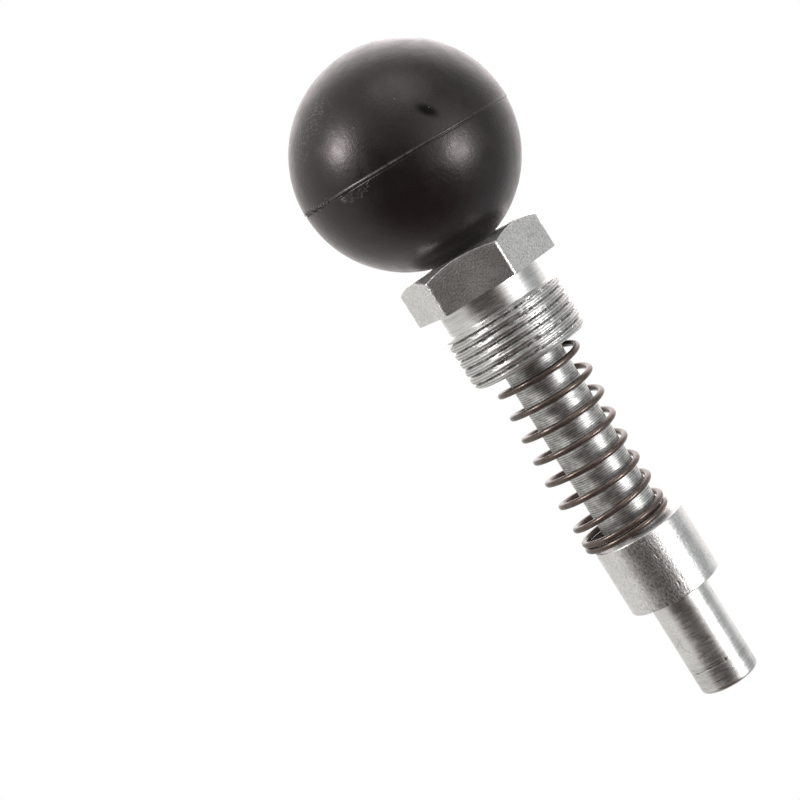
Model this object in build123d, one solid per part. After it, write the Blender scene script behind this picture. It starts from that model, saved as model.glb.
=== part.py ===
from build123d import *
import math
import os

# Spring-loaded pull pin: a ball knob draws a collared pin up through a screw-in bushing, against a spring.
# Millimetres. +Z runs along the pin towards the knob. The origin is the centre of the hexagon's underside,
# the plane that stops the bushing when it is screwed into its boss. Thread crests are left as plain cylinders.

# Bushing, turned from hexagon bar
hex_across_flats = 27.0
hex_height = 8.5
hex_chamfer_circle = 26.4
hex_chamfer_angle = 30.0
hex_corner_radius = 0.8
hex_edge_break = 0.3
neck_diameter = 22.1
neck_length = 4.6
thread_diameter = 25.0
thread_length = 11.4
thread_end_chamfer = 0.9
thread_runout_chamfer = 0.7
bore_edge_break = 0.2
seat_depth = 10.0
seat_edge_break = 0.5

# Pin, turned in one piece: threaded end, rod, collar and locking tip
rod_diameter = 12.7
rod_clearance = 0.08
rod_below_bushing = 39.6
collar_rim_beyond_spring = 0.25
collar_length = 14.4
collar_edge_break = 0.25
tip_diameter = 12.4
tip_length = 21.0
tip_end_round = 0.9
tip_root_fillet = 0.3
stud_diameter = 10.0
stud_length = 14.0
stud_end_chamfer = 1.0

# Compression spring of round wire with closed ends
wire_diameter = 1.3
spring_outer_diameter = 18.9
spring_turns = 12.14
spring_closed_turns_below = 1.39
spring_closed_turns_above = 1.25
spring_ramp_turns = 0.6
spring_wire_gap = 0.06
spring_end_gap = 0.1
spring_side_clearance = 0.35
spring_lower_end_angle = 99.6
spring_points_per_turn = 12
spring_flat_height = 4.0
spring_settle_height = 10.0
spring_rod_gap = 0.25
coil_tilt = 0.1

# Ball knob with a moulded-in threaded insert
knob_diameter = 45.0
knob_seat_diameter = 14.0
seam_step = 0.12
insert_diameter = 13.0
insert_length = 18.0
insert_groove_width = 3.0
insert_groove_depth = 1.0
insert_edge_break = 0.4
stud_clearance = 0.05
stud_end_clearance = 1.0

# Levels along the axis
thread_top_z = -neck_length
bushing_end_z = thread_top_z - thread_length
spring_seat_z = bushing_end_z + seat_depth
collar_top_z = bushing_end_z - rod_below_bushing
collar_bottom_z = collar_top_z - collar_length
tip_end_z = collar_bottom_z - tip_length
knob_seat_z = hex_height

# Radii
rod_radius = rod_diameter / 2
bore_radius = rod_radius + rod_clearance
spring_radius = (spring_outer_diameter - wire_diameter) / 2
spring_lean = spring_radius - wire_diameter / 2 - rod_radius - spring_rod_gap
collar_radius = spring_outer_diameter / 2 + collar_rim_beyond_spring
seat_radius = spring_outer_diameter / 2 + spring_side_clearance


def smooth_step(value):
    """Rises gently from 0 to 1 as value goes from 0 to 1, and stays level beyond."""
    t = min(max(value, 0.0), 1.0)
    return t * t * (3 - 2 * t)


def turned(points):
    """A solid of revolution about Z from its half outline, given as (radius, z) points."""
    outline = make_face(Polyline([(r, 0, z) for r, z in points], close=True))
    return revolve(outline, axis=Axis.Z)


def make_bushing():
    """Chamfered hexagon head, neck and threaded barrel, bored for the rod and counterbored for the spring."""
    head = extrude(RegularPolygon(hex_across_flats / 2, 6, major_radius=False), hex_height)
    head = fillet(head.edges().filter_by(Axis.Z), hex_corner_radius)
    corner_radius = hex_across_flats / math.sqrt(3)
    chamfer_radius = hex_chamfer_circle / 2
    chamfer_drop = (corner_radius - chamfer_radius) * math.tan(math.radians(hex_chamfer_angle))
    under_radius = corner_radius - hex_edge_break
    chamfer_cone = turned([
        (0, 0),
        (under_radius, 0),
        (corner_radius, hex_edge_break),
        (corner_radius, hex_height - chamfer_drop),
        (chamfer_radius, hex_height),
        (0, hex_height),
    ])
    thread_radius = thread_diameter / 2
    neck_radius = neck_diameter / 2
    barrel = turned([
        (0, hex_height / 2),
        (neck_radius, hex_height / 2),
        (neck_radius, thread_top_z),
        (thread_radius - thread_runout_chamfer, thread_top_z),
        (thread_radius, thread_top_z - thread_runout_chamfer),
        (thread_radius, bushing_end_z + thread_end_chamfer),
        (thread_radius - thread_end_chamfer, bushing_end_z),
        (0, bushing_end_z),
    ])
    bore = turned([
        (0, hex_height),
        (bore_radius + bore_edge_break, hex_height),
        (bore_radius, hex_height - bore_edge_break),
        (bore_radius, spring_seat_z),
        (seat_radius, spring_seat_z),
        (seat_radius, bushing_end_z + seat_edge_break),
        (seat_radius + seat_edge_break, bushing_end_z),
        (0, bushing_end_z),
    ])
    return (head & chamfer_cone) + barrel - bore


def make_pin():
    """One turned bar: threaded end for the knob, guide rod, spring collar and locking tip."""
    stud_radius = stud_diameter / 2
    tip_radius = tip_diameter / 2
    stud_end_z = knob_seat_z + stud_length
    bar = turned([
        (0, stud_end_z),
        (stud_radius - stud_end_chamfer, stud_end_z),
        (stud_radius, stud_end_z - stud_end_chamfer),
        (stud_radius, knob_seat_z),
        (rod_radius, knob_seat_z),
        (rod_radius, collar_top_z),
        (collar_radius - collar_edge_break, collar_top_z),
        (collar_radius, collar_top_z - collar_edge_break),
        (collar_radius, collar_bottom_z + collar_edge_break),
        (collar_radius - collar_edge_break, collar_bottom_z),
        (tip_radius, collar_bottom_z),
        (tip_radius, tip_end_z),
        (0, tip_end_z),
    ])
    circles = bar.edges().filter_by(GeomType.CIRCLE)
    tip_circles = circles.filter_by(lambda edge: abs(edge.radius - tip_radius) < 0.001)
    bar = fillet(tip_circles.sort_by(Axis.Z)[0], tip_end_round)
    circles = bar.edges().filter_by(GeomType.CIRCLE)
    tip_circles = circles.filter_by(lambda edge: abs(edge.radius - tip_radius) < 0.001)
    return fillet(tip_circles.sort_by(Axis.Z)[-1], tip_root_fillet)


def spring_point(turn, rise, active_pitch):
    """Centre of the wire after so many turns from the collar: closed ends, even pitch between them,
    and a lean to one side, because the loose spring has come to rest against the rod near the collar."""
    closed_pitch = wire_diameter + spring_wire_gap
    in_lower_half = turn <= spring_turns / 2
    from_end = turn if in_lower_half else spring_turns - turn
    closed_turns = spring_closed_turns_below if in_lower_half else spring_closed_turns_above
    past_closed = max(from_end - closed_turns, 0.0)
    if past_closed < spring_ramp_turns:
        opened = past_closed**2 / (2 * spring_ramp_turns)
    else:
        opened = past_closed - spring_ramp_turns / 2
    climb = closed_pitch * from_end + (active_pitch - closed_pitch) * opened
    height = climb if in_lower_half else rise - climb
    below_mouth = rod_below_bushing - spring_settle_height
    lean = -spring_lean * (1 - smooth_step((height - spring_settle_height) / below_mouth))
    tilt = coil_tilt * smooth_step((height - spring_flat_height) / spring_settle_height)
    tilt *= smooth_step((rise - height - spring_flat_height) / spring_settle_height)
    angle = math.radians(spring_lower_end_angle + 360 * turn)
    across = spring_radius * math.cos(angle)
    start_z = collar_top_z + spring_end_gap + wire_diameter / 2
    return (lean + across, spring_radius * math.sin(angle), start_z + height - tilt * across)


def make_spring():
    """Round wire swept along the coil, between the collar and the counterbore's floor."""
    rise = spring_seat_z - collar_top_z - 2 * spring_end_gap - wire_diameter
    closed_pitch = wire_diameter + spring_wire_gap
    open_turns = spring_turns - spring_closed_turns_below - spring_closed_turns_above - spring_ramp_turns
    active_pitch = closed_pitch + (rise - closed_pitch * spring_turns) / open_turns
    steps = math.ceil(spring_turns * spring_points_per_turn)
    points = [spring_point(spring_turns * i / steps, rise, active_pitch) for i in range(steps + 1)]
    path = Spline(points)
    section = Plane(origin=path @ 0, z_dir=path % 0) * Circle(wire_diameter / 2)
    wire = sweep(section, path=path, is_frenet=True)
    swept = math.pi * wire_diameter**2 / 4 * path.length
    print(f"spring: active pitch {active_pitch:.2f}, volume {wire.volume:.1f}, section times length {swept:.1f}")
    return wire


def make_knob_insert():
    """Steel insert with a blind threaded hole and a locking groove, moulded into the knob."""
    radius = insert_diameter / 2
    groove_radius = radius - insert_groove_depth
    top_z = knob_seat_z + insert_length
    groove_low_z = knob_seat_z + (insert_length - insert_groove_width) / 2
    groove_high_z = groove_low_z + insert_groove_width
    body = turned([
        (0, knob_seat_z),
        (radius, knob_seat_z),
        (radius, groove_low_z),
        (groove_radius, groove_low_z),
        (groove_radius, groove_high_z),
        (radius, groove_high_z),
        (radius, top_z - insert_edge_break),
        (radius - insert_edge_break, top_z),
        (0, top_z),
    ])
    hole_radius = stud_diameter / 2 + stud_clearance
    hole_top_z = knob_seat_z + stud_length + stud_end_clearance
    hole = Pos(0, 0, knob_seat_z) * Cylinder(
        hole_radius, hole_top_z - knob_seat_z, align=(Align.CENTER, Align.CENTER, Align.MIN)
    )
    return body, body - hole


def make_knob(insert_body):
    """Ball with a flat seat below and a small step at its moulding seam, round the insert."""
    upper_radius = knob_diameter / 2
    lower_radius = upper_radius - seam_step
    seat_radius_on_ball = knob_seat_diameter / 2
    centre_z = knob_seat_z + math.sqrt(lower_radius**2 - seat_radius_on_ball**2)
    low_angle = math.acos(seat_radius_on_ball / lower_radius)
    half_way = low_angle / 2
    top = (0, 0, centre_z + upper_radius)
    edge_high = (upper_radius, 0, centre_z)
    edge_low = (lower_radius, 0, centre_z)
    seat_edge = (seat_radius_on_ball, 0, knob_seat_z)
    middle_high = (upper_radius * math.sqrt(0.5), 0, centre_z + upper_radius * math.sqrt(0.5))
    middle_low = (lower_radius * math.cos(half_way), 0, centre_z - lower_radius * math.sin(half_way))
    outline = make_face([
        ThreePointArc(top, middle_high, edge_high),
        Line(edge_high, edge_low),
        ThreePointArc(edge_low, middle_low, seat_edge),
        Line(seat_edge, (0, 0, knob_seat_z)),
        Line((0, 0, knob_seat_z), top),
    ])
    return revolve(outline, axis=Axis.Z) - insert_body


insert_body, knob_insert = make_knob_insert()
parts = {
    "bushing": make_bushing(),
    "pin": make_pin(),
    "spring": make_spring(),
    "knob_insert": knob_insert,
    "knob": make_knob(insert_body),
}

os.makedirs("parts", exist_ok=True)
for name, shape in parts.items():
    export_step(shape, f"parts/{name}.step")
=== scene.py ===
# %% [markdown]
# A spring-loaded pull pin, built round its engineering model.
# The real thing is a steel pin with a collar, drawn up through a screw-in bushing by a black ball
# knob, against a coil spring. The engineering model fixes every size and every motion. This file
# gives each piece its finished surface, its material and its marks of making and use.
# The first step loads that model as a frame and keeps its box.

# %% Load the frame
import math

import bpy
import numpy as np
from mathutils import Matrix, Vector


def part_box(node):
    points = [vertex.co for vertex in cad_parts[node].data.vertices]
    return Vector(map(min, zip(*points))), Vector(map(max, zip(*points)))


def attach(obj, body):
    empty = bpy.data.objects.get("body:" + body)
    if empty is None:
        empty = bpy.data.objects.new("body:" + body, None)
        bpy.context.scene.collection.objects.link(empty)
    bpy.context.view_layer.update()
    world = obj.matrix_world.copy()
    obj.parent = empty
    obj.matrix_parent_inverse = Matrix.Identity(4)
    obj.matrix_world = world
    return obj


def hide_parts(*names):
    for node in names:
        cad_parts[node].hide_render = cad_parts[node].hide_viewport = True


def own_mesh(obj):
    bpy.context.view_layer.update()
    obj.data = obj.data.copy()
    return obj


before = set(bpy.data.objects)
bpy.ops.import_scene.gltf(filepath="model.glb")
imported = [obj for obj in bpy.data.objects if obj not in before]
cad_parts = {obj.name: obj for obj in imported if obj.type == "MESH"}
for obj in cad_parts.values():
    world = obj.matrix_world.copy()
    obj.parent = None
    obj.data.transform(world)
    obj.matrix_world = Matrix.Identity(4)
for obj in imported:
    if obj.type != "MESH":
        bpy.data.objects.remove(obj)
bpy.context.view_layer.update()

MM = 0.001
pin_low, pin_high = (np.array(corner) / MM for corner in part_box("pin"))
bushing_low, bushing_high = (np.array(corner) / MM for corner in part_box("bushing"))
knob_low, knob_high = (np.array(corner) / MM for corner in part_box("knob"))
print("overall height in mm:", round(float(knob_high[2] - pin_low[2]), 2))

# %% [markdown]
# The camera stands about 2 cm above the hexagon's underside and 35 cm away, rolled so that the pin
# lies across the picture. A camera can be aimed with a constraint, or by its matrix. Its matrix is
# built here from four angles, because that also gives the picture's own right and up directions,
# from which the lamps and the world's light and dark zones are placed.

# %% Camera
camera_distance_mm = 352.2
camera_height_mm = 19.5
camera_azimuth = math.radians(8.1)
camera_pitch = math.radians(4.72)
camera_yaw = math.radians(-4.225)
camera_roll = math.radians(-32.305)
lens_mm = 81.68
sensor_mm = 36.0
nearest_seen_m = 0.01

level_forward = Vector((math.sin(camera_yaw), math.cos(camera_yaw), 0.0))
level_right = Vector((math.cos(camera_yaw), -math.sin(camera_yaw), 0.0))
forward = level_forward * math.cos(camera_pitch) - Vector((0, 0, math.sin(camera_pitch)))
upward = level_right.cross(forward)
roll_cos, roll_sin = math.cos(camera_roll), math.sin(camera_roll)
turn_to_side = Matrix.Rotation(camera_azimuth, 3, "Z")
picture_forward = turn_to_side @ forward
picture_right = turn_to_side @ (roll_cos * level_right + roll_sin * upward)
picture_up = turn_to_side @ (roll_cos * upward - roll_sin * level_right)

camera_data = bpy.data.cameras.new("studio_camera")
camera_data.lens = lens_mm
camera_data.sensor_width = sensor_mm
camera_data.clip_start = nearest_seen_m
camera = bpy.data.objects.new("studio_camera", camera_data)
bpy.context.scene.collection.objects.link(camera)
camera_matrix = Matrix((picture_right, picture_up, -picture_forward)).transposed().to_4x4()
camera_place = turn_to_side @ Vector((0, -camera_distance_mm, camera_height_mm)) * MM
camera_matrix.translation = camera_place
camera.matrix_world = camera_matrix
bpy.context.scene.camera = camera
bpy.context.scene.view_settings.view_transform = "Standard"
print("camera at", [round(value, 4) for value in camera_place])

# %% [markdown]
# Every turned piece is a surface of revolution with small changes: a hexagon here, a thread there,
# scratches and dents. A screw modifier could spin a profile, but it couldn't vary round the axis.
# So a piece is a grid of points, with rows along its outline and columns round its axis, and numpy
# works out the whole grid at once. The helpers below round the outline's corners, skin the grid
# and keep numbers on it that a material can read.

# %% Helpers for grids of points


def smooth(value):
    """3t^2 - 2t^3 with t held between 0 and 1: rises gently from 0 to 1 and stays level beyond."""
    t = np.clip(value, 0.0, 1.0)
    return t * t * (3.0 - 2.0 * t)


def bell(distance, width):
    """exp(-(distance / width)^2): 1 at the middle, falling to nothing on both sides."""
    return np.exp(-((distance / width) ** 2))


def cut_corner(corner, towards, rounding):
    """The point where a corner's rounding meets the side that runs towards another corner, at most
    half way along it."""
    way = towards - corner
    return corner + way * np.minimum(rounding / np.maximum(np.hypot(*way), 1e-9), 0.5)


def rounded_outline(corners, closed, corner_steps=5):
    """Rows of (radius, height) along a polyline with rounded corners. Each corner lists its radius
    and height, as numbers or one value per column, how far from it the rounding starts, and the
    distance between rows on the stretch that follows. A rounding is the curve
    (1-t)^2 A + 2t(1-t) P + t^2 C. The two ends of an open polyline stay sharp."""
    count = len(corners)
    columns = max(np.size(value) for corner in corners for value in corner[:2])
    points = np.empty((count, 2, columns))
    for k, (radius, height, _, _) in enumerate(corners):
        points[k, 0] = radius
        points[k, 1] = height
    curved = [closed or 0 < k < count - 1 for k in range(count)]
    starts, stops = points.copy(), points.copy()
    for k in np.flatnonzero(curved):
        starts[k] = cut_corner(points[k], points[k - 1], corners[k][2])
        stops[k] = cut_corner(points[k], points[(k + 1) % count], corners[k][2])
    rows = []
    for k, (_, _, _, spacing) in enumerate(corners):
        t = np.linspace(0.0, 1.0, corner_steps if curved[k] else 1)[:, None, None]
        rows.append((1 - t) ** 2 * starts[k] + 2 * t * (1 - t) * points[k] + t**2 * stops[k])
        if closed or k < count - 1:
            side = starts[(k + 1) % count] - stops[k]
            steps = int(np.ceil(np.hypot(*side).max() / spacing))
            t = np.linspace(0.0, 1.0, steps + 1)[1:-1, None, None]
            rows.append(stops[k] + side * t)
    grid = np.concatenate(rows)
    return grid[:, 0], grid[:, 1]


def skin(name, points, poles=None):
    """A mesh over a grid of points in mm. Columns wrap round. Rows wrap round too, or end in two
    poles, the points that close them. The signed volume, a sixth of the sum of each triangle's
    determinant, is made positive so that all the faces point outwards."""
    rows, columns = points.shape[:2]
    index = np.arange(rows * columns).reshape(rows, columns)
    if poles is None:
        first, second = index, np.roll(index, -1, axis=0)
    else:
        first, second = index[:-1], index[1:]
    quads = np.stack([first, second, np.roll(second, -1, 1), np.roll(first, -1, 1)], -1)
    quads = quads.reshape(-1, 4)
    vertices = points.reshape(-1, 3)
    fans = np.empty((0, 3), int)
    if poles is not None:
        low, high = np.full(columns, rows * columns), np.full(columns, rows * columns + 1)
        low_fan = np.stack([low, index[0], np.roll(index[0], -1)], -1)
        high_fan = np.stack([high, np.roll(index[-1], -1), index[-1]], -1)
        fans = np.concatenate([low_fan, high_fan])
        vertices = np.concatenate([vertices, np.array(poles, float)])
    triangles = np.concatenate([quads[:, [0, 1, 2]], quads[:, [0, 2, 3]], fans])
    volume = np.linalg.det(vertices[triangles]).sum() / 6.0
    if volume < 0:
        quads, fans = quads[:, ::-1], fans[:, ::-1]
    mesh = bpy.data.meshes.new(name)
    mesh.from_pydata((vertices * MM).tolist(), [], quads.tolist() + fans.tolist())
    mesh.shade_smooth()
    mesh.set_sharp_from_angle(angle=math.radians(40))
    piece = bpy.data.objects.new(name, mesh)
    bpy.context.scene.collection.objects.link(piece)
    print(name, "triangles", len(quads) * 2 + len(fans), "volume in mm3", round(abs(volume)))
    return piece


def mark(piece, **marks):
    """Keeps numbers on the mesh by name, one per grid point, for a material to read. A pole gets
    the mean of the row next to it."""
    for name, values in marks.items():
        flat = np.asarray(values, float).ravel()
        if len(piece.data.vertices) > len(flat):
            flat = np.concatenate([flat, [np.mean(values[0]), np.mean(values[-1])]])
        attribute = piece.data.attributes.new(name, "FLOAT", "POINT")
        attribute.data.foreach_set("value", flat.astype(np.float32))
    print(piece.name, "keeps", ", ".join(marks))


def around(count):
    """Angles of the columns of a plain round piece, evenly spaced."""
    return np.linspace(0.0, 2 * np.pi, count, endpoint=False)


def turned_points(radius, height, angle):
    """x = r cos a, y = r sin a, z = h, for rows of r and h and columns of a."""
    radius, height, angle = np.broadcast_arrays(radius, height, angle)
    return np.stack([radius * np.cos(angle), radius * np.sin(angle), height], -1)


def wave_noise(seed, count, shortest, longest, *coordinates):
    """The sum of count sine waves of seeded direction and phase, over coordinates in mm, with
    wavelengths from shortest to longest: a smooth, repeatable unevenness of about -1 to 1."""
    random = np.random.default_rng(seed)
    total = 0.0
    for wavelength in np.geomspace(shortest, longest, count):
        direction = random.normal(size=len(coordinates))
        direction *= 2 * np.pi / wavelength / np.linalg.norm(direction)
        phase = random.uniform(0, 2 * np.pi)
        total = total + np.sin(sum(d * c for d, c in zip(direction, coordinates)) + phase)
    return total / math.sqrt(count)


# %% [markdown]
# The bushing is turned from hexagon bar: a chamfered hexagon for the spanner, a plain neck, and a
# thread that screws into the machine. A thread could be made by sweeping a tooth along a helix and
# joining it, but the join is hard to close. Here the radius is a function of height and angle, so
# the groove winds down the barrel in one closed skin. Its crests keep the model's 25 mm.

# %% Bushing: sizes and columns
hex_flat_mm = bushing_high[1]
hex_point_mm = hex_flat_mm / math.cos(math.pi / 6)
hex_height_mm = bushing_high[2]
hex_corner_round_mm = 0.8
hex_chamfer_radius_mm = 13.2
hex_chamfer_slope = math.tan(math.radians(30))
hex_underside_break_mm = 0.3
neck_radius_mm = 11.05
neck_end_mm = -4.6
thread_radius_mm = 12.5
thread_start_chamfer_mm = 0.7
thread_end_chamfer_mm = 0.9
thread_pitch_mm = 25.4 / 14
thread_depth_mm = 1.08
thread_crest_at_mm = -7.71
bushing_end_mm = bushing_low[2]
bore_radius_mm = 6.43
bore_edge_break_mm = 0.2
seat_radius_mm = 9.8
seat_edge_break_mm = 0.5
seat_floor_mm = -6.0


def hexagon_angles(sector_columns, corner_columns, corner_share):
    """Columns crowded at the hexagon's corners, where the outline turns within a millimetre."""
    flat = np.linspace(corner_share, 1 - corner_share, sector_columns, endpoint=False)
    corner = np.linspace(-corner_share, corner_share, corner_columns, endpoint=False)
    sector = np.concatenate([corner, flat])
    return ((np.arange(6)[:, None] + sector[None, :]) * np.pi / 3).ravel()


def angle_from_corner(angle):
    """The angle to the nearest corner of the hexagon, from -30 to 30 degrees, in radians."""
    return np.mod(angle + np.pi / 6, np.pi / 3) - np.pi / 6


def hexagon_radius(angle):
    """Distance from the axis to a hexagon with rounded corners. Between corners it is the flat's
    f / cos(a); near one it is the circle of the corner's rounding,
    c cos(b) + sqrt(r^2 - (c sin b)^2), with b measured from the corner and c the rounding centre's
    distance from the axis. The limit lies a little past the place where circle and flat meet."""
    from_corner = angle_from_corner(angle)
    flat = hex_flat_mm / np.cos(np.pi / 6 - np.abs(from_corner))
    centre = (hex_flat_mm - hex_corner_round_mm) / math.cos(math.pi / 6)
    under_root = np.maximum(hex_corner_round_mm**2 - (centre * np.sin(from_corner)) ** 2, 0.0)
    curve = centre * np.cos(from_corner) + np.sqrt(under_root)
    limit = math.atan2(hex_corner_round_mm / 2, hex_point_mm - hex_corner_round_mm * 0.58)
    return np.where(np.abs(from_corner) < limit, np.minimum(curve, flat), flat)


bushing_angle = hexagon_angles(sector_columns=48, corner_columns=12, corner_share=0.045)
hex_radius = hexagon_radius(bushing_angle)
print("bushing columns", len(bushing_angle), "largest radius in mm", hex_radius.max().round(2))

# %% Bushing: outline
hair_mm = 0.02  # keeps two corners apart on the flats, where the underside's edge isn't broken
chamfer_foot = hex_height_mm - (hex_radius - hex_chamfer_radius_mm) * hex_chamfer_slope
underside_edge = np.minimum(hex_radius, hex_point_mm - hex_underside_break_mm)
underside_lift = np.maximum(hex_radius - underside_edge, 0.0)
bushing_corners = [  # radius, height, rounding and spacing of rows
    (bore_radius_mm + bore_edge_break_mm, hex_height_mm, 0.06, 0.9),
    (hex_chamfer_radius_mm, hex_height_mm, 0.25, 0.8),
    (hex_radius, chamfer_foot, 0.12, 0.5),
    (hex_radius, underside_lift + hair_mm, 0.06, 0.3),
    (underside_edge - hair_mm, 0.0, 0.06, 0.7),
    (neck_radius_mm, 0.0, 0.12, 0.35),
    (neck_radius_mm, neck_end_mm, 0.15, 0.2),
    (thread_radius_mm - thread_start_chamfer_mm, neck_end_mm, 0.12, 0.085),
    (thread_radius_mm, neck_end_mm - thread_start_chamfer_mm, 0.12, 0.08),
    (thread_radius_mm, bushing_end_mm + thread_end_chamfer_mm, 0.2, 0.08),
    (thread_radius_mm - thread_end_chamfer_mm, bushing_end_mm, 0.12, 0.4),
    (seat_radius_mm + seat_edge_break_mm, bushing_end_mm, 0.1, 0.3),
    (seat_radius_mm, bushing_end_mm + seat_edge_break_mm, 0.1, 1.2),
    (seat_radius_mm, seat_floor_mm, 0.15, 0.9),
    (bore_radius_mm, seat_floor_mm, 0.1, 1.5),
    (bore_radius_mm, hex_height_mm - bore_edge_break_mm, 0.05, 0.2),
]
bushing_radius, bushing_height = rounded_outline(bushing_corners, closed=True, corner_steps=4)
print("bushing rows", len(bushing_radius))

# %% [markdown]
# The thread was cut in a few passes and has been screwed in before. Each pass leaves a fine line on
# the crests, chips break the flanks, and the hexagon's corners have small nicks from the spanner.
# These could be painted on, but they show at the outline, so they are cut into the radius. The
# groove fades in below the neck, where the tool was brought up to the bar.

# %% Bushing: thread and nicks
nick_depth_mm = 0.09
tool_line_depth_mm = 0.050
chip_depth_mm = 0.14
run_out_mm = 0.9


def thread_groove(height, angle, frayed):
    """Depth of the groove from 0 at the crest to 1 at its bottom, and the place along the thread in
    turns. It climbs one pitch for each turn anticlockwise, as a right-hand thread does. The
    shoulders slope gently to 0.14 of the depth, then drop. Where the crest is frayed, the drop
    starts nearer to its middle, by that share of half a pitch."""
    along = (height - thread_crest_at_mm) / thread_pitch_mm - angle / (2 * np.pi)
    from_crest = np.abs(along - np.round(along)) * 2 + frayed
    shoulder = 0.14 * smooth((from_crest - 0.15) / 0.5)
    drop = 0.86 * smooth((from_crest - 0.68) / 0.30)
    return shoulder + drop, along


nick_noise = wave_noise(23, 12, 0.5, 2.5, bushing_height, 3.0 * bushing_angle)
nicked = np.clip(nick_noise - 0.3, 0.0, 1.0) * bell(angle_from_corner(bushing_angle), 0.03)
outer_side = bushing_radius > hex_chamfer_radius_mm + 0.3
bushing_radius = bushing_radius - nick_depth_mm * nicked * outer_side
on_barrel = (bushing_radius > neck_radius_mm) & (bushing_height < neck_end_mm + 0.001)
run_out = smooth((neck_end_mm - 0.1 - bushing_height) / run_out_mm)
across_x, across_y = 12 * np.cos(bushing_angle), 12 * np.sin(bushing_angle)
wander = wave_noise(7, 14, 1.0, 7.0, across_x, across_y, bushing_height)
chip_noise = wave_noise(8, 14, 0.6, 2.2, across_x, across_y, 2.0 * bushing_height)
chips = np.clip(chip_noise - 0.7, 0.0, 1.5)
groove, along_thread = thread_groove(
    bushing_height, bushing_angle, frayed=0.05 * wander + 0.16 * chips
)
tool_lines = 0.5 - 0.5 * np.cos(2 * np.pi * 3 * along_thread + 0.4 * wander)
flank = groove * (1.0 - groove) * 4.0
worn_depth = thread_depth_mm * (1.0 + 0.04 * wander) * groove
relief = tool_line_depth_mm * tool_lines * (1.0 + 0.5 * wander) + chip_depth_mm * chips * flank
threaded_radius = thread_radius_mm - (worn_depth + relief) * run_out
cut_radius = np.minimum(bushing_radius, threaded_radius)
bushing_radius = np.where(on_barrel, cut_radius, bushing_radius)
deepest_cut = (thread_radius_mm - threaded_radius)[on_barrel].max()
print("deepest cut of the thread in mm:", deepest_cut.round(2))

# %% Bushing: skin and marks
bushing = skin("bushing_turned", turned_points(bushing_radius, bushing_height, bushing_angle))
on_hexagon = (bushing_height > 0.0) & (bushing_radius > hex_chamfer_radius_mm - 0.05)
threaded = on_barrel * run_out
mark(
    bushing,
    rolled_flat=on_hexagon,
    ringed=1.0 - on_hexagon,
    chattered=1.0 - on_hexagon,
    # darker deep in the thread's groove
    groove=0.6 * smooth((groove - 0.3) / 0.5) * threaded,
    threaded=threaded,
    dulled=0.13 * threaded,
    scored=tool_lines**2 * threaded * smooth((0.6 - groove) / 0.4),
)
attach(bushing, "bushing_body")
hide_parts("bushing")

# %% [markdown]
# The pin is one turned bar: a threaded end inside the knob, the rod that runs in the bushing, the
# collar that the spring pushes on and the locking tip. It is the same kind of grid, closed at both
# ends by a pole. A sculpted or subdivided bar would need fine faces everywhere. Here the rows are
# close together only where the real one has marks: dents in the collar's drawn surface, and
# scratches and a scored ring on the tip.

# %% Pin: sizes and outline
rod_radius_mm = 6.35
collar_radius_mm = pin_high[0]
tip_radius_mm = 6.2
collar_top_mm = -55.6
collar_bottom_mm = -70.0
tip_end_mm = pin_low[2]
tip_end_round_mm = 0.9
edge_round_mm = 0.3
stud_radius_mm = 5.0
stud_chamfer_mm = 1.0
stud_end_mm = pin_high[2]
scratches_top_mm = -76.8
scratches_length_mm = 5.4
score_mm = -85.75
pole_row_mm = 0.3
pin_angle = around(360)
pin_corners = [
    (pole_row_mm, stud_end_mm, 0.0, 2.0),
    (stud_radius_mm - stud_chamfer_mm, stud_end_mm, 0.1, 1.0),
    (stud_radius_mm, stud_end_mm - stud_chamfer_mm, 0.1, 3.0),
    (stud_radius_mm, hex_height_mm, 0.05, 0.6),
    (rod_radius_mm, hex_height_mm, 0.1, 2.2),
    (rod_radius_mm, collar_top_mm, 0.08, 0.8),
    (collar_radius_mm, collar_top_mm, edge_round_mm, 0.24),
    (collar_radius_mm, collar_bottom_mm, edge_round_mm, 0.8),
    (tip_radius_mm, collar_bottom_mm, edge_round_mm, 0.5),
    (tip_radius_mm, scratches_top_mm, 0.0, 0.2),
    (tip_radius_mm, scratches_top_mm - scratches_length_mm, 0.0, 0.35),
    (tip_radius_mm, score_mm + 1.0, 0.0, 0.09),
    (tip_radius_mm, score_mm - 1.0, 0.0, 0.14),
    (tip_radius_mm, score_mm - 4.0, 0.0, 0.2),
    (tip_radius_mm, tip_end_mm, tip_end_round_mm, 0.8),
    (pole_row_mm, tip_end_mm, 0.0, 0.3),
]
pin_radius, pin_height = (
    np.repeat(rows, len(pin_angle), axis=1) for rows in rounded_outline(pin_corners, closed=False)
)
print("pin rows", len(pin_radius))

# %% Pin: dents, scratches and the scored ring
front_degrees = np.degrees(pin_angle) - 360.0  # the camera's side is about -82, far from a jump
pin_x, pin_y = collar_radius_mm * np.cos(pin_angle), collar_radius_mm * np.sin(pin_angle)


def collar_relief():
    """Height in mm of the collar's drawn skin: low waves all over, and short lengthwise dents, most
    of them on the side that has knocked against the tube."""
    waves = wave_noise(42, 14, 0.55, 3.0, pin_x, pin_y, 0.8 * pin_height)
    streaks = wave_noise(44, 24, 0.32, 0.9, pin_x, pin_y, 0.34 * pin_height)
    knocked = 0.35 + 0.9 * bell(front_degrees + 84.0, 16.0)
    return 0.0008 * waves - 0.052 * knocked * np.clip(streaks - 1.0, 0.0, 1.0)


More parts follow.
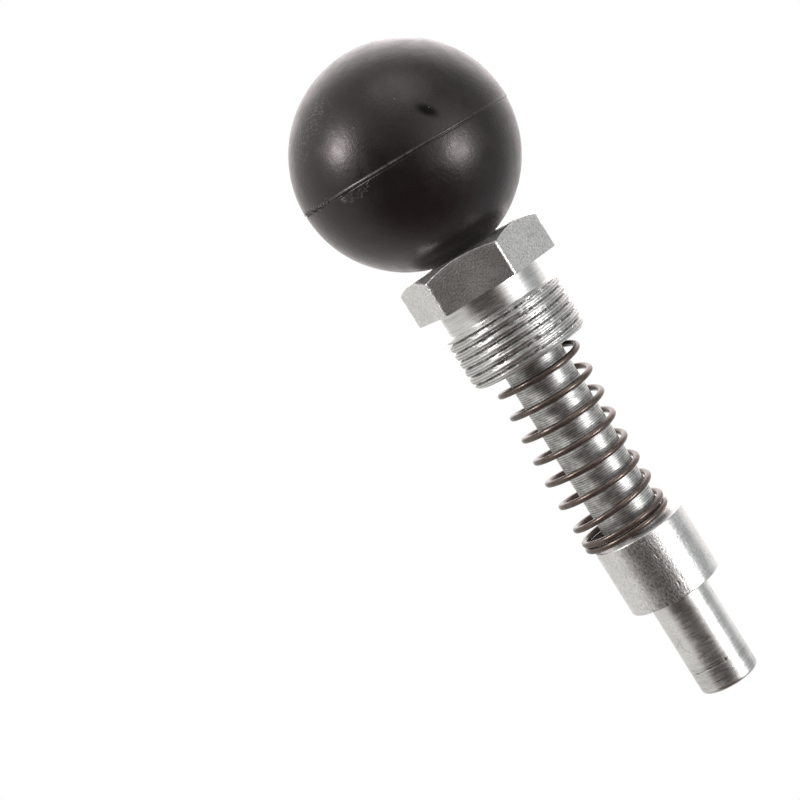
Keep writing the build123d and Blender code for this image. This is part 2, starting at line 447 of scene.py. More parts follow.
def stroke(start, end, width):
    """1 along a straight scratch on the tip between two places given as (degrees, height), falling
    to 0 over its width in mm: a bell of the distance to the nearest point between its ends."""
    to_mm = tip_radius_mm * math.pi / 180
    start, end = np.array([start[0] * to_mm, start[1]]), np.array([end[0] * to_mm, end[1]])
    x, y = front_degrees * to_mm - start[0], pin_height - start[1]
    run = end - start
    nearest = np.clip((x * run[0] + y * run[1]) / (run @ run), 0.0, 1.0)
    return bell(np.hypot(x - nearest * run[0], y - nearest * run[1]), width)


score_height = score_mm - 0.000157 * (front_degrees + 95.0) ** 2
score_reach = smooth((front_degrees + 176) / 12) * smooth((-72 - front_degrees) / 4)
score = bell(pin_height - score_height, 0.11) * score_reach
pit = bell(pin_height - score_mm - 0.12, 0.30) * bell(front_degrees + 72.5, 2.8)
scratches = (
    stroke((-150, -79.8), (-127, -78.2), 0.10)
    + stroke((-135, -77.6), (-132, -80.9), 0.11)
    + stroke((-136, -79.9), (-123, -81.5), 0.09)
    + 0.7 * stroke((-118, -83.0), (-104, -83.3), 0.08)
)
ring_places = [(-86.75, 0.09), (-88.1, 0.10), (-89.4, 0.09)]
rings_on_tip = sum(bell(pin_height - height, width) for height, width in ring_places)
ring_noise = wave_noise(61, 10, 2.0, 9.0, pin_x, pin_y, pin_height)
broken_rings = rings_on_tip * np.clip(0.6 + 0.6 * ring_noise, 0.0, 1.0)
tip_relief = -0.06 * score - 0.08 * pit - 0.07 * scratches - 0.02 * broken_rings
below_top = smooth((collar_top_mm - 0.35 - pin_height) / 0.4)
above_bottom = smooth((pin_height - collar_bottom_mm - 0.35) / 0.4)
collar_wall = below_top * above_bottom * (pin_radius > collar_radius_mm - 0.01)
tip_wall = (pin_height < collar_bottom_mm - 1.0) & (pin_radius > tip_radius_mm - 0.001)
pin_radius = pin_radius + collar_relief() * collar_wall + tip_relief * tip_wall
print("deepest mark on the tip in mm:", round(float((tip_relief * tip_wall).min()), 3))

# %% Pin: skin and marks
pin = skin(
    "pin_turned",
    turned_points(pin_radius, pin_height, pin_angle),
    poles=[(0, 0, stud_end_mm), (0, 0, tip_end_mm)],
)
on_collar = (pin_radius > collar_radius_mm - 0.25) & (pin_height < collar_top_mm - 0.05)
on_collar_top = (np.abs(pin_height - collar_top_mm) < 0.02) & (pin_radius > rod_radius_mm + 0.3)
on_tip = (pin_height < collar_bottom_mm - 0.2) & ~on_collar
scored_end = smooth((tip_end_mm + 9.0 - pin_height) / 4.0)
knocked_side = 0.5 + 0.9 * bell(front_degrees + 90.0, 22.0)
drawn = np.where(on_tip, 0.30, on_collar * knocked_side)
# darker in the pit, the scored ring, the scratches and the rings on the tip
darkening = 1.3 * pit + 1.4 * score + 0.9 * scratches + 0.5 * broken_rings
mark(
    pin,
    ringed=np.where(on_tip, 0.35 + 0.75 * scored_end, 1.0) * (1.0 - on_collar),
    chattered=1.0 - np.clip(drawn, 0.0, 1.0),
    drawn=drawn,
    rod=pin_height > collar_top_mm,
    dulled=np.select([on_collar_top, on_tip, on_collar], [0.20, 0.05, 0.02], 0.18),
    groove=np.clip(darkening, 0.0, 1.4) * tip_wall,
)
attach(pin, "plunger")
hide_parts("pin")

# %% [markdown]
# The spring is round wire, wound with its last turns closed and leaning against the rod, because
# nothing centres it there. A curve with a bevel would do, but its ends stay open or sharp. Here the
# centre line repeats the engineering model's formula, each ring of points stands square to it, and
# a pole closes each end. As the pin is pulled, the whole coil is squashed towards its seat.

# %% Spring
wire_radius_mm = 0.65
wire_end_round_mm = 0.08
coil_radius_mm = 8.8
spring_turns = 12.14
closed_turns_below = 1.39
closed_turns_above = 1.25
ramp_turns = 0.6
closed_pitch_mm = 1.36
end_gap_mm = 0.1
lower_end_angle = 99.6
lean_mm = 1.55
tilt_share = 0.1
settle_mm = 10.0
flat_mm = 4
free_length_mm = 39.6
spring_rise_mm = seat_floor_mm - collar_top_mm - 2 * end_gap_mm - 2 * wire_radius_mm
spring_start_mm = collar_top_mm + end_gap_mm + wire_radius_mm


def spring_line(turn):
    """Centre of the wire after so many turns from the collar. The height climbs by the closed
    pitch, and past the closed turns by the active pitch, with a parabola between the two; the
    upper half mirrors the lower. x also leans to one side near the collar, and each coil tilts by
    a share of x."""
    open_turns = spring_turns - closed_turns_below - closed_turns_above - ramp_turns
    active = closed_pitch_mm + (spring_rise_mm - closed_pitch_mm * spring_turns) / open_turns
    in_lower_half = turn <= spring_turns / 2
    from_end = np.where(in_lower_half, turn, spring_turns - turn)
    closed_turns = np.where(in_lower_half, closed_turns_below, closed_turns_above)
    past = np.maximum(from_end - closed_turns, 0.0)
    opened = np.where(past < ramp_turns, past**2 / (2 * ramp_turns), past - ramp_turns / 2)
    climb = closed_pitch_mm * from_end + (active - closed_pitch_mm) * opened
    height = np.where(in_lower_half, climb, spring_rise_mm - climb)
    lean = -lean_mm * (1 - smooth((height - settle_mm) / (free_length_mm - settle_mm)))
    tilt_below = tilt_share * smooth((height - flat_mm) / settle_mm)
    tilt = tilt_below * smooth((spring_rise_mm - height - flat_mm) / settle_mm)
    angle = np.radians(lower_end_angle + 360 * turn)
    across = coil_radius_mm * np.cos(angle)
    z = spring_start_mm + height - tilt * across
    return np.stack([lean + across, coil_radius_mm * np.sin(angle), z], -1)


def tube(centres, radius, sides):
    """Rings of points square to a line: sideways is the line's direction crossed with the way out
    from the axis, and a ring is radius (cos a outward + sin a sideways)."""
    direction = np.gradient(centres, axis=0)
    direction /= np.linalg.norm(direction, axis=1, keepdims=True)
    outward = centres * (1, 1, 0)
    outward -= (outward * direction).sum(1, keepdims=True) * direction
    outward /= np.linalg.norm(outward, axis=1, keepdims=True)
    sideways = np.cross(direction, outward)
    angle = around(sides)[None, :, None]
    ring = np.cos(angle) * outward[:, None] + np.sin(angle) * sideways[:, None]
    return centres[:, None] + radius[:, None, None] * ring


rings_per_turn = 90
wire_turns = np.linspace(0, spring_turns, int(spring_turns * rings_per_turn) + 1)
wire_centres = spring_line(wire_turns)
wire_radii = np.full(len(wire_turns), wire_radius_mm)
wire_radii[[0, -1]] = wire_radius_mm - wire_end_round_mm
wire_rings = tube(wire_centres, wire_radii, sides=28)
spring = skin("spring_wound", wire_rings, poles=[wire_centres[0], wire_centres[-1]])
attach(spring, "spring_body")
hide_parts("spring")
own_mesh(spring)

# %% [markdown]
# The knob is a ball moulded in two halves, which don't quite meet: one stands a tenth of a
# millimetre proud, with a thin ridge of flash between them. A subdivided sphere would have no rows
# along that seam. So the ball is a grid with rows crowded at its middle and columns crowded on its
# worn side, and the step, the ridge and a torn patch are added to its radius.

# %% Knob: sizes, columns and rows
ball_radius_mm = knob_high[0]
ball_centre_mm = knob_high[2] - ball_radius_mm
seam_step_mm = 0.12
lower_ball_radius_mm = ball_radius_mm - seam_step_mm
knob_seat_mm = knob_low[2]
knob_seat_radius_mm = 7.0
insert_radius_mm = 6.5
insert_length_mm = 18.0
insert_edge_break_mm = 0.4
insert_top_mm = knob_seat_mm + insert_length_mm
worn_side = -118.0
top_latitude = 89.0
seam_tilt = 1.9
seam_offset = -0.35


def crowded_longitudes(count, middle, crowding):
    """Angles of the columns, a = t - k sin(t - middle), closer together round one side."""
    even = around(count)
    return even - crowding * np.sin(even - math.radians(middle))


def crowded_latitudes(low, high, middle_step, side_step):
    """Latitudes in degrees from low to high, middle_step apart near the seam and side_step apart at
    the ends. The step grows from row to row, so the sizes of faces change gently."""
    steps = middle_step * 1.07 ** np.arange(200)
    offsets = np.cumsum(np.minimum(steps, side_step)) - middle_step / 2
    below = -offsets[offsets < -low - side_step / 3][::-1]
    above = offsets[offsets < high - side_step / 3]
    return np.concatenate([[low], below, above])


knob_angle = crowded_longitudes(520, worn_side, crowding=0.55)[None, :]
seat_latitude = -math.degrees(math.acos(knob_seat_radius_mm / lower_ball_radius_mm))
from_seam = crowded_latitudes(seat_latitude, top_latitude, middle_step=0.2, side_step=1.6)
from_seam = np.radians(from_seam)[:, None]
seam_shift = np.radians(seam_offset - seam_tilt * np.cos(knob_angle + math.radians(30)))
end_latitude = np.where(from_seam < 0, math.radians(seat_latitude), math.radians(top_latitude))
latitude = from_seam + seam_shift * (1 - (from_seam / end_latitude) ** 2)
from_worn_side = np.mod(knob_angle - math.radians(worn_side) + np.pi, 2 * np.pi) - np.pi
east_mm = ball_radius_mm * from_worn_side
north_mm = ball_radius_mm * from_seam
print("knob rows", len(from_seam), "columns", knob_angle.size)

# %% [markdown]
# Along the seam the flash was trimmed by knife, which left a full bead on one side, and a stretch
# to the west where it broke off in bits. A highlight is painted pale along the top of the bead, on
# the bits and on the lifted lip of the torn patch. The ball has since been scuffed, and a dark
# reflection on its front and shade in a notch under the seam are painted on. Every mark is a smooth
# function of the mm east and north of one point on the seam, so one number moves or resizes it.

# %% Knob: seam, flash and scuffs
broken_flash = smooth((-3.2 - east_mm) / 1.2) * smooth((east_mm + 17.5) / 2.5)
ragged = wave_noise(31, 12, 0.45, 2.2, east_mm, 1.6 * north_mm)
notch = bell(east_mm + 0.2, 0.85) * bell(north_mm + 0.45 + 0.1 * ragged, 0.28)


def seam_relief():
    """Height added near the seam, in mm. The upper half ends in a bead, full on the worn side and
    low elsewhere, with a groove under it and one notch. Where the flash is broken, short bits
    stand up and out."""
    fullness = 0.5 + 0.5 * bell(east_mm - 3.0, 15.0)
    bead = 0.10 * fullness * bell(north_mm - 0.17, 0.18)
    undercut = fullness + 0.9 * bell(east_mm - 1.2, 2.6)
    under = -0.12 * undercut * bell(north_mm + 0.18, 0.14)
    bits = 0.22 * np.clip(ragged - 0.2, 0.0, 1.0) * bell(north_mm - 0.1, 0.5)
    holes = -0.18 * np.clip(-ragged - 0.1, 0.0, 1.0) * bell(north_mm + 0.15, 0.45)
    whole = (1.0 - 0.75 * broken_flash) * (bead + under)
    return whole + broken_flash * (bits + holes) - 0.20 * notch


def trimmed_share():
    """1 on top of the bead, where a highlight is painted pale, less on the far side, and on the
    bits of broken flash, which are painted pale as lit too."""
    fullness = 0.08 + 0.24 * bell(east_mm - 6.0, 11.0)
    uneven = 1.0 + 0.5 * wave_noise(3, 10, 0.6, 4.0, east_mm)
    whole = smooth((east_mm + 4.2) / 1.2)
    ragged_bits = np.clip(ragged - 0.5, 0.0, 1.0) * bell(north_mm - 0.2, 0.45)
    bead = np.clip(fullness * whole * uneven, 0.0, 1.0) * bell(north_mm - 0.2, 0.17)
    return bead + 0.9 * broken_flash * ragged_bits


def torn_patch():
    """The patch below the seam where the skin tore away with the flash, half an ellipse hung from
    the seam with an uneven edge: 1 inside it and 0 outside, and 1 along its lip, which is lifted
    and has a painted highlight."""
    edge = 0.35 * wave_noise(5, 9, 0.7, 4.0, east_mm, north_mm)
    half_ellipse = np.sqrt(np.clip(1.0 - ((east_mm - 2.4) / 4.3) ** 2, 0.0, 1.0))
    reach = 2.6 * half_ellipse * (1 - 0.05 * east_mm)
    inside = reach + north_mm + edge - 0.1
    below_seam = smooth((-0.25 - north_mm) / 0.6) * (reach > 0.3)
    return smooth(inside / 0.3) * below_seam, bell(inside - 0.1, 0.15) * below_seam


def scuffed_share():
    """1 on the scuffed band on the west of the ball, which climbs to the east, 0 round it."""
    along = 0.84 * (east_mm + 7.1) + 0.54 * (north_mm - 11.4)
    across = 0.84 * (north_mm - 11.4) - 0.54 * (east_mm + 7.1)
    return bell(across, 3.6) * smooth((along + 4.0) / 4.0) * smooth((16.0 - along) / 6.0)


def smudge_share():
    """1 inside a painted dark reflection on the front, 0 outside: an ellipse with a soft edge."""
    east = (east_mm + ball_radius_mm * math.radians(worn_side + 61.5)) * np.cos(latitude)
    north = ball_radius_mm * (latitude - math.radians(10.9))
    lengthwise, crosswise = 0.567 * east - 0.824 * north, 0.824 * east + 0.567 * north
    return 0.8 * smooth((1.5 - np.hypot(lengthwise / 2.1, crosswise)) / 1.1)


torn, torn_rim = torn_patch()
above_seam = smooth((north_mm + 0.05) / 0.10)
ball_radius = lower_ball_radius_mm + seam_step_mm * above_seam
torn_relief = torn * (0.03 * wave_noise(17, 12, 0.6, 3.0, east_mm, north_mm) - 0.04)
ball_radius = ball_radius + seam_relief() + torn_relief + 0.06 * torn_rim
print("ball radius in mm from", ball_radius.min().round(3), "to", ball_radius.max().round(3))

# %% Knob: skin and marks
ball_height = ball_centre_mm + ball_radius * np.sin(latitude)
ball_grid = turned_points(ball_radius * np.cos(latitude), ball_height, knob_angle)
cavity_corners = [
    (pole_row_mm, insert_top_mm, 0.0, 2.0),
    (insert_radius_mm - insert_edge_break_mm, insert_top_mm, 0.0, 1.0),
    (insert_radius_mm, insert_top_mm - insert_edge_break_mm, 0.0, 2.0),
    (insert_radius_mm, knob_seat_mm, 0.0, 1.0),
]
cavity_grid = turned_points(*rounded_outline(cavity_corners, closed=False), knob_angle)
knob = skin(
    "knob_ball",
    np.concatenate([cavity_grid, ball_grid]),
    poles=[(0, 0, insert_top_mm), (0, 0, knob_high[2])],
)


def with_cavity(values):
    """A mark of the ball's rows, with rows of 0 before them for the cavity."""
    return np.concatenate([np.zeros(cavity_grid.shape[:2]), values])


mark(
    knob,
    torn=with_cavity(torn),
    # painted highlight on top of the bead, on the broken bits of flash and on the torn patch's lip
    trimmed=with_cavity(trimmed_share() + 0.15 * torn_rim),
    scuffed=with_cavity(scuffed_share()),
    # a painted dark reflection on the front, and painted shade in the notch under the seam
    smudge=with_cavity(smudge_share() + 0.7 * notch),
)
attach(knob, "plunger")
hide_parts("knob")

# %% [markdown]
# Materials come next. All of them start from a Principled shader. One small function adds a node,
# sets it up and links it, and one turns an sRGB hex colour into the linear numbers that the shader
# works with. Patterns read Object coordinates, in metres, so a scale of 1000 is one feature per mm.
# A finish is then a list of layers: where it shows, how strongly, and in what colour or depth.

# %% Helpers for materials
PER_MM = 1000.0


def linear(hex_colour):
    """sRGB hex to linear RGBA: c / 12.92 below 0.04045, and ((c + 0.055) / 1.055)^2.4 above."""
    channels = np.array([int(hex_colour[i : i + 2], 16) for i in (1, 3, 5)]) / 255
    low, high = channels / 12.92, ((channels + 0.055) / 1.055) ** 2.4
    return (*np.where(channels <= 0.04045, low, high).tolist(), 1.0)


def fill(tree, node, inputs):
    """Gives each named or numbered input of a node a value, or a link from a socket."""
    for key, value in inputs.items():
        if isinstance(value, bpy.types.NodeSocket):
            tree.links.new(value, node.inputs[key])
        else:
            node.inputs[key].default_value = value


def add_node(tree, kind, inputs=None, **settings):
    """Adds a node, sets its properties and fills its inputs."""
    node = tree.nodes.new(kind)
    for key, value in settings.items():
        setattr(node, key, value)
    fill(tree, node, inputs or {})
    return node


def new_material(name):
    """An empty material with a Principled shader wired to its output, and Object coordinates."""
    material = bpy.data.materials.new(name)
    material.use_nodes = True
    tree = material.node_tree
    tree.nodes.clear()
    shader = add_node(tree, "ShaderNodeBsdfPrincipled")
    add_node(tree, "ShaderNodeOutputMaterial", {"Surface": shader.outputs["BSDF"]})
    coordinates = add_node(tree, "ShaderNodeTexCoord").outputs["Object"]
    return material, tree, shader, coordinates


def dress(piece, material):
    """Puts one material in the piece's first slot."""
    piece.data.materials.clear()
    piece.data.materials.append(material)
    print(piece.name, "is dressed in", material.name)


def pattern(tree, vector, per_mm, low=0.35, high=0.65, detail=2.0, roughness=0.5):
    """Noise with so many features per mm along x, y and z. Its values from low to high are spread
    from 0 to 1."""
    scale = tuple(value * PER_MM for value in per_mm)
    scaled = add_node(tree, "ShaderNodeMapping", {"Vector": vector, "Scale": scale})
    settings = {"Vector": scaled.outputs[0], "Scale": 1.0, "Detail": detail}
    noise = add_node(tree, "ShaderNodeTexNoise", {**settings, "Roughness": roughness})
    levels = {"Value": noise.outputs[0], "From Min": low, "From Max": high}
    return add_node(tree, "ShaderNodeMapRange", levels).outputs["Result"]


def share(tree, mark_name, height, low=0.0, high=1.0):
    """How strongly a finish shows: a height from 0 to 1, moved so that it runs from low to high,
    times the number that the mesh keeps under a name. With no name it shows all over."""
    levels = {"Value": height, "To Min": low, "To Max": high}
    moved = add_node(tree, "ShaderNodeMapRange", levels, clamp=False).outputs["Result"]
    if mark_name is None:
        return moved
    kept = add_node(tree, "ShaderNodeAttribute", attribute_name=mark_name).outputs["Fac"]
    return add_node(tree, "ShaderNodeMath", {0: kept, 1: moved}, operation="MULTIPLY").outputs[0]


def stained(tree, colour, layers):
    """A colour with others laid over it. A layer is (mark, height, low, high, hex colour), and
    covers as much as share() says."""
    for mark_name, height, low, high, hex_colour in layers:
        mix = {0: share(tree, mark_name, height, low, high), 6: colour, 7: linear(hex_colour)}
        colour = add_node(tree, "ShaderNodeMix", mix, data_type="RGBA").outputs[2]
    return colour


def embossed(tree, layers):
    """A normal tilted by one relief after another. A layer is (mark, height, depth in mm), with the
    depth that a height from 0 to 1 stands for."""
    normal = {}
    for mark_name, height, depth_mm in layers:
        relief = {"Height": share(tree, mark_name, height), "Distance": depth_mm * MM}
        made = add_node(tree, "ShaderNodeBump", {**relief, **normal, "Strength": 1.0})
        normal = {"Normal": made.outputs["Normal"]}
    return normal["Normal"]


def turning_coordinates(tree, place):
    """x and y as they are, and z plus the distance from the axis: lines of equal value are rings on
    cylinders, cones and flat end faces alike, as a lathe's tool leaves them."""
    x, y, z = add_node(tree, "ShaderNodeSeparateXYZ", {0: place}).outputs
    across = add_node(tree, "ShaderNodeCombineXYZ", {0: x, 1: y}).outputs[0]
    distance = add_node(tree, "ShaderNodeVectorMath", {0: across}, operation="LENGTH")
    terms = {0: z, 1: distance.outputs["Value"]}
    along = add_node(tree, "ShaderNodeMath", terms, operation="ADD").outputs[0]
    return add_node(tree, "ShaderNodeCombineXYZ", {0: x, 1: y, 2: along}).outputs[0]


# %% [markdown]
# Zinc-plated steel, turned on a lathe and then plated bright. The tool leaves fine rings, which the
# plating softens, so lights smear along the axis and stay sharp round it. That is anisotropy, with
# the rings added to the colour and the relief. No two rings are equally rough, which frays the
# edges of the lights, and the rod and the thread are a little duller than the rest. Where the bar
# kept its rolled or drawn skin, on the hexagon's flats and the collar, there are grains, pits and
# short lengthwise marks in place of rings. The thread's grooves and the scratches are darker.

# %% Zinc-plated turned steel: patterns
zinc, tree, shader, place = new_material("zinc_plated_turned_steel")
turning = turning_coordinates(tree, place)
# The tool's real rings are about a tenth of a mm apart. They are drawn at 3 to 4.5 per mm, which is
# as fine as the picture can show.
rings = pattern(tree, turning, (0.10, 0.10, 3.0), 0.30, 0.70, detail=4.0, roughness=0.65)
chatter = pattern(tree, turning, (0.35, 0.35, 4.5), 0.30, 0.70, detail=3.0, roughness=0.6)
patchy = pattern(tree, turning, (0.9, 0.9, 1.3), 0.36, 0.64)
clouds = pattern(tree, place, (0.25, 0.25, 0.25), detail=3.0)
grain = pattern(tree, place, (2.6, 2.6, 2.6), 0.38, 0.62, detail=3.0, roughness=0.6)
streaks = pattern(tree, place, (3.0, 3.0, 1.5), 0.38, 0.62, detail=3.0, roughness=0.7)
pits = pattern(tree, place, (3.0, 3.0, 1.6), 0.54, 0.66)
groove_darkening = pattern(tree, place, (0.8, 0.8, 2.5), 0.35, 0.62, detail=3.0)

# The rod's feed marks are 0.45 mm apart, about two pixels: finer ones would not show in the render.
feed_mm = 0.45
wave_repeat = 0.314  # a Wave texture of scale 1 repeats after so many units
in_mm = add_node(tree, "ShaderNodeVectorMath", {0: turning, 3: PER_MM}, operation="SCALE")
wave = {"Vector": in_mm.outputs[0], "Scale": wave_repeat / feed_mm, "Distortion": 0.0}
feed_lines = add_node(tree, "ShaderNodeTexWave", wave, bands_direction="Z").outputs["Fac"]
terms = {0: feed_lines, 1: 0.66, 2: share(tree, None, patchy, 0.0, 0.42)}
feed_marks = add_node(tree, "ShaderNodeMath", terms, operation="MULTIPLY_ADD").outputs[0]
print("zinc patterns", len(tree.nodes), "nodes")

# %% Zinc-plated turned steel: colour, gloss and relief
colour_layers = [
    (None, clouds, 0.0, 1.0, "#f4f4f2"),
    ("ringed", rings, 0.44, 0.0, "#6e6c69"),
    ("rod", feed_marks, 0.72, 0.0, "#4c4b4b"),
    ("rolled_flat", grain, 0.52, 0.0, "#8f8d89"),
    ("drawn", streaks, 0.54, 0.0, "#77746f"),
    ("drawn", pits, 0.0, 0.42, "#5a554e"),
    ("threaded", 1.0, 0.0, 0.14, "#b7b5b1"),
    ("scored", 1.0, 0.0, 0.60, "#57534f"),
    # darker deep in the thread's grooves and in the tip's marks
    ("groove", groove_darkening, 0.75, 0.05, "#57534f"),
]
relief_layers = [
    ("ringed", rings, 0.010),
    ("rod", feed_marks, 0.008),
    ("rolled_flat", grain, 0.024),
    ("drawn", streaks, 0.017),
]
roughness = share(tree, None, clouds, 0.28, 0.33)
for extra in (share(tree, "dulled", 1.0), share(tree, "chattered", chatter, -0.17, 0.15)):
    total = add_node(tree, "ShaderNodeMath", {0: extra, 1: roughness}, operation="ADD")
    roughness = total.outputs[0]
ring_way = add_node(tree, "ShaderNodeTangent", direction_type="RADIAL", axis="Z")
zinc_inputs = {
    "Base Color": stained(tree, linear("#ebebe8"), colour_layers),
    "Metallic": 1.0,
    "Roughness": roughness,
    "Anisotropic": 0.6,
    "Anisotropic Rotation": 0.25,
    "Tangent": ring_way.outputs[0],
    "Normal": embossed(tree, relief_layers),
}
fill(tree, shader, zinc_inputs)
dress(bushing, zinc)
dress(pin, zinc)

# %% [markdown]
# Oil-tempered spring wire: hardened and tempered in oil, which leaves a thin brown-black oxide over
# steel. It could be plain dark metal, but the oxide dulls its shine, so it is only partly metallic.
# It is smooth, and shows narrow lights along the wire, a little blurred.

# %% Oil-tempered spring wire
wire, tree, shader, place = new_material("oil_tempered_spring_wire")
oxide = pattern(tree, place, (0.5, 0.5, 0.5), detail=3.0)
scale_lines = pattern(tree, place, (1.4, 1.4, 5.0), 0.4, 0.7)
oxide_layers = [
    (None, oxide, 0.0, 1.0, "#645852"),
    (None, scale_lines, 0.0, 0.35, "#8a7b73"),
]
wire_inputs = {
    "Base Color": stained(tree, linear("#51463f"), oxide_layers),
    "Metallic": 0.65,
    "Roughness": 0.27,
    "Normal": embossed(tree, [(None, scale_lines, 0.008)]),
}
fill(tree, shader, wire_inputs)
dress(spring, wire)

# %% [markdown]
# Black phenolic, moulded hot in a polished tool and used since. The skin is smooth but not flat,
# with a fine unevenness that breaks up the lights, worn dull in places, and with a few specks of
# pale dust. The black is slightly warm. A clear coat would look too deep, so it is one rough layer
# with a relief, and a sheen that pales it towards its edge, as fine wear does.

# %% Black moulded plastic: patterns
plastic, tree, shader, place = new_material("black_moulded_plastic")
mottle = pattern(tree, place, (1.5, 1.5, 1.5), 0.3, 0.7, detail=4.0, roughness=0.62)
worn = pattern(tree, place, (0.35, 0.35, 0.35), 0.38, 0.62, detail=3.0)
climb = {"Vector": place, "Rotation": (0.0, math.radians(58), 0.0)}
along_scuffs = add_node(tree, "ShaderNodeMapping", climb).outputs[0]
scratch_lines = pattern(tree, along_scuffs, (2.2, 2.2, 0.35), 0.52, 0.66, detail=3.0)

# One cell in ten of a mosaic of about 2 mm holds a speck, where its middle is near enough.
mosaic = {"Vector": place, "Scale": 0.45 * PER_MM}
cells = add_node(tree, "ShaderNodeTexVoronoi", mosaic).outputs
chosen = add_node(tree, "ShaderNodeSeparateColor", {0: cells["Color"]}).outputs[0]
rare = add_node(tree, "ShaderNodeMath", {0: chosen, 1: 0.90}, operation="GREATER_THAN")
near = add_node(tree, "ShaderNodeMath", {0: cells["Distance"], 1: 0.05}, operation="LESS_THAN")
both = {0: rare.outputs[0], 1: near.outputs[0]}
specks = add_node(tree, "ShaderNodeMath", both, operation="MULTIPLY").outputs[0]
print("plastic patterns", len(tree.nodes), "nodes")

# %% Black moulded plastic: colour, gloss and relief
black_layers = [
    ("torn", 1.0, 0.0, 1.0, "#1b1513"),
    # painted highlight: pale on top of the bead, on the broken bits and on the torn lip
    ("trimmed", 1.0, 0.0, 1.0, "#8b8581"),
    # painted dark reflection on the front, and painted shade in the notch under the seam
    ("smudge", 1.0, 0.0, 1.0, "#030303"),
    (None, specks, 0.0, 1.0, "#6d6764"),
    ("scuffed", scratch_lines, 0.0, 0.22, "#6d6764"),
]
skin_relief = [(None, mottle, 0.013), (None, worn, 0.010), ("scuffed", scratch_lines, 0.035)]
plastic_inputs = {
    "Base Color": stained(tree, linear("#151110"), black_layers),
    "Metallic": share(tree, "smudge", 1.0),  # black as metal mirrors nothing, so the painted dark reflection and the painted shade in the notch are dull
    "Roughness": share(tree, None, worn, 0.29, 0.37),
    "Specular Tint": (1.0, 0.90, 0.90, 1.0),
    "Sheen Weight": 0.64,
    "Sheen Roughness": 0.31,
    "Sheen Tint": (1.0, 0.91, 0.92, 1.0),
    "Normal": embossed(tree, skin_relief),
}
fill(tree, shader, plastic_inputs)
dress(knob, plastic)

# %% [markdown]
# The insert is plain turned steel, cleaned and moulded into the knob. Nothing of it is seen from
# outside, so the engineering model's own solid is shown, in one even grey without a pattern.

# %% Insert steel
insert_steel, tree, shader, _ = new_material("plain_insert_steel")
fill(tree, shader, {"Base Color": linear("#b8b6b2"), "Metallic": 1.0, "Roughness": 0.4})
dress(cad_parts["knob_insert"], insert_steel)

# %% [markdown]
# The pin is seen against pure white, in soft light. Metal shows its surroundings, so the world is
# not one grey: white behind the object, over-bright above it, middling at the sides, with a soft
# glow on each side of the camera, and dark below and beside the lens, as a dim room is. Cards on
# stands could do the same, but they would shade the lamps. Each zone is laid over the last, and
# the camera itself sees plain white.

# %% World


def picture_way(from_camera, around_picture):
    """The direction so many degrees away from the camera's, towards an angle in the picture that is
    counted from the right, anticlockwise: -cos t forward + sin t (cos a right + sin a up)."""
    turn, angle = math.radians(from_camera), math.radians(around_picture)
    across = math.cos(angle) * picture_right + math.sin(angle) * picture_up
    return (-math.cos(turn) * picture_forward + math.sin(turn) * across).normalized()


def cosines(outer, inner):
    """The cosines of two angles in degrees from a zone's middle: where it begins, and is full."""
    return math.cos(math.radians(outer)), math.cos(math.radians(inner))


world = bpy.data.worlds.new("studio_world")
bpy.context.scene.world = world
world.use_nodes = True
tree = world.node_tree
tree.nodes.clear()
direction = add_node(tree, "ShaderNodeTexCoord").outputs["Generated"]
room = (0.79, 0.79, 0.785, 1.0)  # the left side's grey, where no zone is laid over it
zones = {  # way to its middle, cosines where it begins and is full, and linear colour
    "right side": (picture_way(90, 31.7), (-0.6, 0.6), (0.42, 0.43, 0.44)),
    "behind": (picture_way(160, 68), (0.42, 0.80), (0.98, 0.96, 0.96)),
    "above": (picture_way(140, 97), cosines(47, 15), (2.3, 2.18, 2.2)),
    "lower left": (picture_way(90, -120), (0.30, 0.46), (0.74, 0.73, 0.715)),
    "shade below": (picture_way(45, -75), cosines(62, 34), (0.12, 0.07, 0.06)),
    "right glow": (picture_way(44, 22), cosines(38, 4), (1.2, 1.2, 1.22)),
    "left glow": (picture_way(66, 172), cosines(34, 6), (1.15, 1.12, 1.1)),
    "dark by the lens": (picture_way(27, -129), cosines(50, 11), (0.082, 0.073, 0.069)),
}
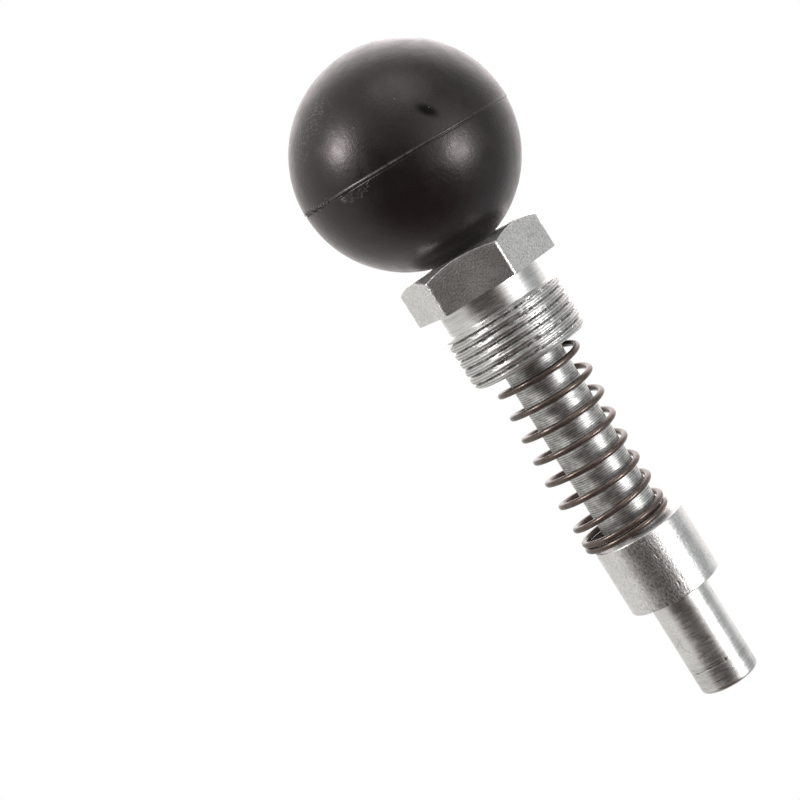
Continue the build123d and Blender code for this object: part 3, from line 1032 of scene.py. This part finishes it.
for way, (begins, full), colour in zones.values():
    product = {0: direction, 1: tuple(way)}
    cosine = add_node(tree, "ShaderNodeVectorMath", product, operation="DOT_PRODUCT")
    levels = {"Value": cosine.outputs["Value"], "From Min": begins, "From Max": full}
    inside = add_node(tree, "ShaderNodeMapRange", levels, interpolation_type="SMOOTHSTEP")
    mix = {0: inside.outputs["Result"], 6: room, 7: (*colour, 1.0)}
    room = add_node(tree, "ShaderNodeMix", mix, data_type="RGBA").outputs[2]
studio = add_node(tree, "ShaderNodeBackground", {"Color": room, "Strength": 1.0})
white = add_node(tree, "ShaderNodeBackground", {"Color": (1, 1, 1, 1), "Strength": 1.0})
seen = add_node(tree, "ShaderNodeLightPath").outputs["Is Camera Ray"]
either = {0: seen, 1: studio.outputs[0], 2: white.outputs[0]}
chosen = add_node(tree, "ShaderNodeMixShader", either)
add_node(tree, "ShaderNodeOutputWorld", {"Surface": chosen.outputs[0]})
print("world zones:", ", ".join(zones))

# %% [markdown]
# Two round lamps give the two soft spots of light on the ball, and a large one above gives the
# shape. Point lamps would be simpler, but their lights would be hard dots. A lamp's power is worked
# out from how bright its face should look, so that it can be moved or resized and look the same.

# %% Lamps
lamp_focus = Vector((0, 0, -10)) * MM
lamp_distance_m = 0.8


def soft_lamp(name, to_right, to_up, width, height, radiance):
    """An elliptical lamp seen from the object at so many degrees right of and above the camera. Its
    power is radiance x pi x area, so that its face is radiance times as bright as white."""
    azimuth, elevation = math.radians(to_right), math.radians(to_up)
    level = -math.cos(azimuth) * picture_forward + math.sin(azimuth) * picture_right
    way = math.cos(elevation) * level + math.sin(elevation) * picture_up
    light = bpy.data.lights.new(name, "AREA")
    light.shape = "ELLIPSE"
    light.size = width
    light.size_y = height
    light.energy = radiance * math.pi * math.pi * width * height / 4
    lamp = bpy.data.objects.new(name, light)
    bpy.context.scene.collection.objects.link(lamp)
    sideways = picture_up.cross(way).normalized()
    upright = way.cross(sideways)
    matrix = Matrix((sideways, upright, way)).transposed().to_4x4()
    matrix.translation = lamp_focus + way * lamp_distance_m
    lamp.matrix_world = matrix
    lamp.visible_camera = False
    print(name, round(light.energy, 2), "W")


soft_lamp("soft_lamp_right", to_right=51, to_up=4, width=0.21, height=0.25, radiance=21.0)
soft_lamp("soft_lamp_left", to_right=-67, to_up=5, width=0.21, height=0.27, radiance=21.0)
soft_lamp("soft_lamp_above", to_right=-14, to_up=60, width=0.66, height=0.50, radiance=1.5)
